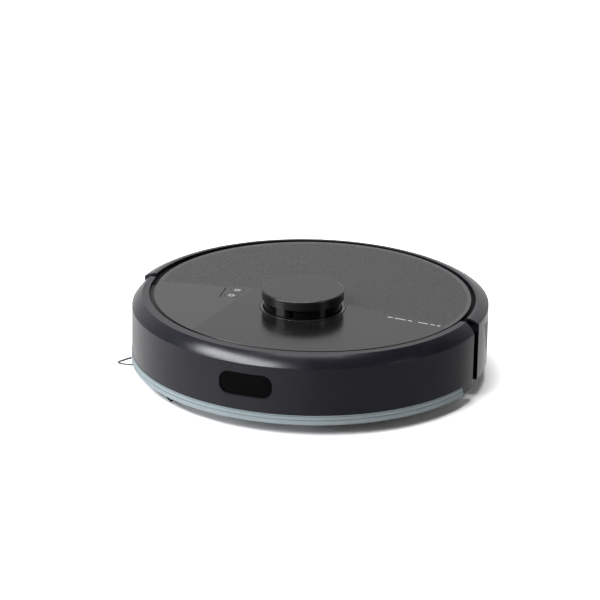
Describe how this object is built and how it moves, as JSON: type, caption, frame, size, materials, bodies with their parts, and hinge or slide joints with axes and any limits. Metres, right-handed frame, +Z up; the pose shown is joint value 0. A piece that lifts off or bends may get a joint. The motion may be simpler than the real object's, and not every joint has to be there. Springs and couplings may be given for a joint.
{
  "type": "robot vacuum cleaner",
  "caption": "Low round floor-cleaning robot with a raised laser turret, wrap-round front bumper, side brush, roller brush, drive wheels and pull-out dust bin.",
  "frame": {"origin": "on the floor, on the axis of the round body", "axes": "+Z up; the robot drives towards -Y; its left side is +X"},
  "size_m": [0.353, 0.3506, 0.098],
  "materials": {
    "shell_black": "satin black moulded plastic",
    "panel_satin": "satin black moulded plastic with a fine relief",
    "collar_grey": "dark warm grey moulded plastic",
    "strip_grey": "mid grey ribbed soft-touch plastic",
    "window_black": "infra-red transparent gloss black",
    "sensor_board": "circuit board with emitters",
    "lever_plastic": "natural acetal",
    "chassis_dark": "fine spark-eroded black plastic",
    "housing_dark": "moulded dark grey plastic",
    "cap_satin": "satin black cap",
    "band_smoke": "gloss black infra-red band",
    "ring_black": "gloss black trim ring",
    "rotor_dark": "dark moulded plastic",
    "lidar_frame": "moulded plastic",
    "motor_steel": "drawn steel can",
    "pulley_white": "natural acetal",
    "belt_rubber": "rubber belt",
    "button_satin": "satin black key with a pale printed symbol",
    "status_bar": "smoked light bar",
    "board_green": "circuit board",
    "battery_wrap": "blue shrink film on steel cells",
    "screw_steel": "blackened steel screws",
    "contact_plate": "nickel plated contact",
    "sensor_smoke": "smoked sensor window",
    "foam_black": "open black foam",
    "spring_steel": "spring wire",
    "pin_steel": "ground steel pin",
    "arm_plastic": "moulded gearbox plastic",
    "hub_plastic": "moulded plastic",
    "tyre_rubber": "black rubber tread",
    "caster_white": "pale moulded plastic",
    "caster_dark": "moulded plastic",
    "side_hub": "dark elastomer",
    "bristle_nylon": "black nylon bristles",
    "brush_core": "moulded plastic",
    "brush_rubber": "soft rubber blades",
    "guard_dark": "moulded plastic frame",
    "bin_smoke": "dark smoked plastic",
    "bin_lid_dark": "moulded plastic",
    "latch_satin": "satin key",
    "filter_white": "pleated paper filter",
    "impeller_white": "moulded plastic",
    "speaker_black": "black cone and steel basket"
  },
  "bodies": {
    "chassis": {"base_chassis": "chassis_dark", "battery_cover": "chassis_dark", "battery_pack": "battery_wrap", "bin_bay": "housing_dark", "blower_housing": "housing_dark", "blower_motor": "motor_steel", "brush_belt": "belt_rubber", "brush_housing": "housing_dark", "brush_motor": "motor_steel", "button_board": "board_green", "caster_cup": "caster_dark", "charging_contacts": "contact_plate", "chassis_screws": "screw_steel", "cliff_sensors": "sensor_smoke", "exhaust_foam": "foam_black", "lidar_base": "lidar_frame", "lidar_belt": "belt_rubber", "lidar_motor": "motor_steel", "main_board": "board_green", "rear_shell": "shell_black", "side_brush_gearmotor": "housing_dark", "speaker": "speaker_black", "status_light": "status_bar", "suspension_springs": "spring_steel", "arm_pivots": "pin_steel", "top_deck": "collar_grey", "top_panel": "panel_satin", "turret_base_ring": "ring_black"},
    "bumper": {"bumper_shell": "shell_black", "bumper_strip": "strip_grey", "ir_window": "window_black", "ir_sensor_board": "sensor_board"},
    "bumper_lever_l": {"bumper_lever_left": "lever_plastic"},
    "bumper_lever_r": {"bumper_lever_right": "lever_plastic"},
    "turret": {"turret_cap": "cap_satin", "turret_band": "band_smoke"},
    "lidar": {"lidar_rotor": "rotor_dark"},
    "lidar_drive": {"lidar_motor_pulley": "pulley_white"},
    "power_key": {"power_button": "button_satin"},
    "home_key": {"home_button": "button_satin"},
    "arm_l": {"wheel_arm_left": "arm_plastic"},
    "arm_r": {"wheel_arm_right": "arm_plastic"},
    "wheel_l": {"wheel_hub_left": "hub_plastic", "tyre_left": "tyre_rubber"},
    "wheel_r": {"wheel_hub_right": "hub_plastic", "tyre_right": "tyre_rubber"},
    "caster_swivel": {"caster_fork": "caster_dark"},
    "caster": {"caster_wheel": "caster_white"},
    "side_brush": {"side_brush_hub": "side_hub", "side_brush_screw": "screw_steel", "side_brush_bristles": "bristle_nylon"},
    "main_brush": {"main_brush_core": "brush_core", "main_brush_blades": "brush_rubber"},
    "brush_drive": {"brush_motor_pulley": "pulley_white"},
    "guard": {"brush_guard": "guard_dark"},
    "bin": {"dust_bin": "bin_smoke", "bin_lid": "bin_lid_dark", "bin_filter": "filter_white"},
    "bin_latch": {"bin_latch_button": "latch_satin"},
    "fan": {"impeller": "impeller_white"}
  },
  "joints": [
    {"name": "bumper_push", "type": "slide", "parent": "chassis", "child": "bumper", "axis": [0, 1, 0], "range_m": [0, 0.005], "stiffness_N_per_m": 400, "springref_m": -0.003},
    {"name": "bumper_lever_l_turn", "type": "hinge", "parent": "chassis", "child": "bumper_lever_l", "pos_m": [0.084, -0.118, 0.049], "axis": [0, 0, 1], "range_deg": [0, 14.4]},
    {"name": "bumper_lever_r_turn", "type": "hinge", "parent": "chassis", "child": "bumper_lever_r", "pos_m": [-0.084, -0.118, 0.049], "axis": [0, 0, 1], "range_deg": [-14.4, 0]},
    {"name": "turret_press", "type": "slide", "parent": "chassis", "child": "turret", "axis": [0, 0, -1], "range_m": [0, 0.0012], "stiffness_N_per_m": 1500, "springref_m": -0.0008},
    {"name": "lidar_spin", "type": "hinge", "parent": "chassis", "child": "lidar", "pos_m": [0.006, -0.038, 0.067], "axis": [0, 0, 1], "continuous": true},
    {"name": "lidar_drive_spin", "type": "hinge", "parent": "chassis", "child": "lidar_drive", "pos_m": [0.062, -0.046, 0.067], "axis": [0, 0, 1], "continuous": true},
    {"name": "power_key_press", "type": "slide", "parent": "chassis", "child": "power_key", "axis": [0, 0, -1], "range_m": [0, 0.0008], "stiffness_N_per_m": 1200, "springref_m": -0.0004},
    {"name": "home_key_press", "type": "slide", "parent": "chassis", "child": "home_key", "axis": [0, 0, -1], "range_m": [0, 0.0008], "stiffness_N_per_m": 1200, "springref_m": -0.0004},
    {"name": "arm_l_droop", "type": "hinge", "parent": "chassis", "child": "arm_l", "pos_m": [0.1005, 0.059, 0.044], "axis": [1, 0, 0], "range_deg": [0, 18], "stiffness_Nm_per_rad": 0.35, "springref_deg": 51.57},
    {"name": "wheel_l_roll", "type": "hinge", "parent": "arm_l", "child": "wheel_l", "pos_m": [0.114, 0.018, 0.033], "axis": [1, 0, 0], "continuous": true},
    {"name": "arm_r_droop", "type": "hinge", "parent": "chassis", "child": "arm_r", "pos_m": [-0.1005, 0.059, 0.044], "axis": [1, 0, 0], "range_deg": [0, 18], "stiffness_Nm_per_rad": 0.35, "springref_deg": 51.57},
    {"name": "wheel_r_roll", "type": "hinge", "parent": "arm_r", "child": "wheel_r", "pos_m": [-0.114, 0.018, 0.033], "axis": [1, 0, 0], "continuous": true},
    {"name": "caster_turn", "type": "hinge", "parent": "chassis", "child": "caster_swivel", "pos_m": [0, -0.126, 0.035], "axis": [0, 0, 1], "continuous": true},
    {"name": "caster_roll", "type": "hinge", "parent": "caster_swivel", "child": "caster", "pos_m": [0, -0.12, 0.013], "axis": [1, 0, 0], "continuous": true},
    {"name": "side_brush_spin", "type": "hinge", "parent": "chassis", "child": "side_brush", "pos_m": [-0.1132, -0.0745, 0.009], "axis": [0, 0, 1], "continuous": true},
    {"name": "main_brush_spin", "type": "hinge", "parent": "chassis", "child": "main_brush", "pos_m": [0, 0.03, 0.021], "axis": [1, 0, 0], "continuous": true},
    {"name": "brush_drive_spin", "type": "hinge", "parent": "chassis", "child": "brush_drive", "pos_m": [-0.0878, -0.014, 0.033], "axis": [1, 0, 0], "continuous": true},
    {"name": "guard_release", "type": "slide", "parent": "chassis", "child": "guard", "axis": [0, 0, -1], "range_m": [0, 0.02]},
    {"name": "bin_pull", "type": "slide", "parent": "chassis", "child": "bin", "axis": [0, 1, 0], "range_m": [0, 0.14]},
    {"name": "bin_latch_press", "type": "slide", "parent": "bin", "child": "bin_latch", "axis": [0, -1, 0], "range_m": [0, 0.002], "stiffness_N_per_m": 700, "springref_m": -0.0008},
    {"name": "fan_spin", "type": "hinge", "parent": "chassis", "child": "fan", "pos_m": [0.105, 0.101, 0.03], "axis": [0, 0, 1], "continuous": true}
  ],
  "couplings": [
    {"joint": "bumper_lever_l_turn", "follows": "bumper_push", "rad_per_m": 50},
    {"joint": "bumper_lever_r_turn", "follows": "bumper_push", "rad_per_m": -50},
    {"joint": "lidar_drive_spin", "follows": "lidar_spin", "ratio": 5},
    {"joint": "brush_drive_spin", "follows": "main_brush_spin", "ratio": 1.375}
  ]
}
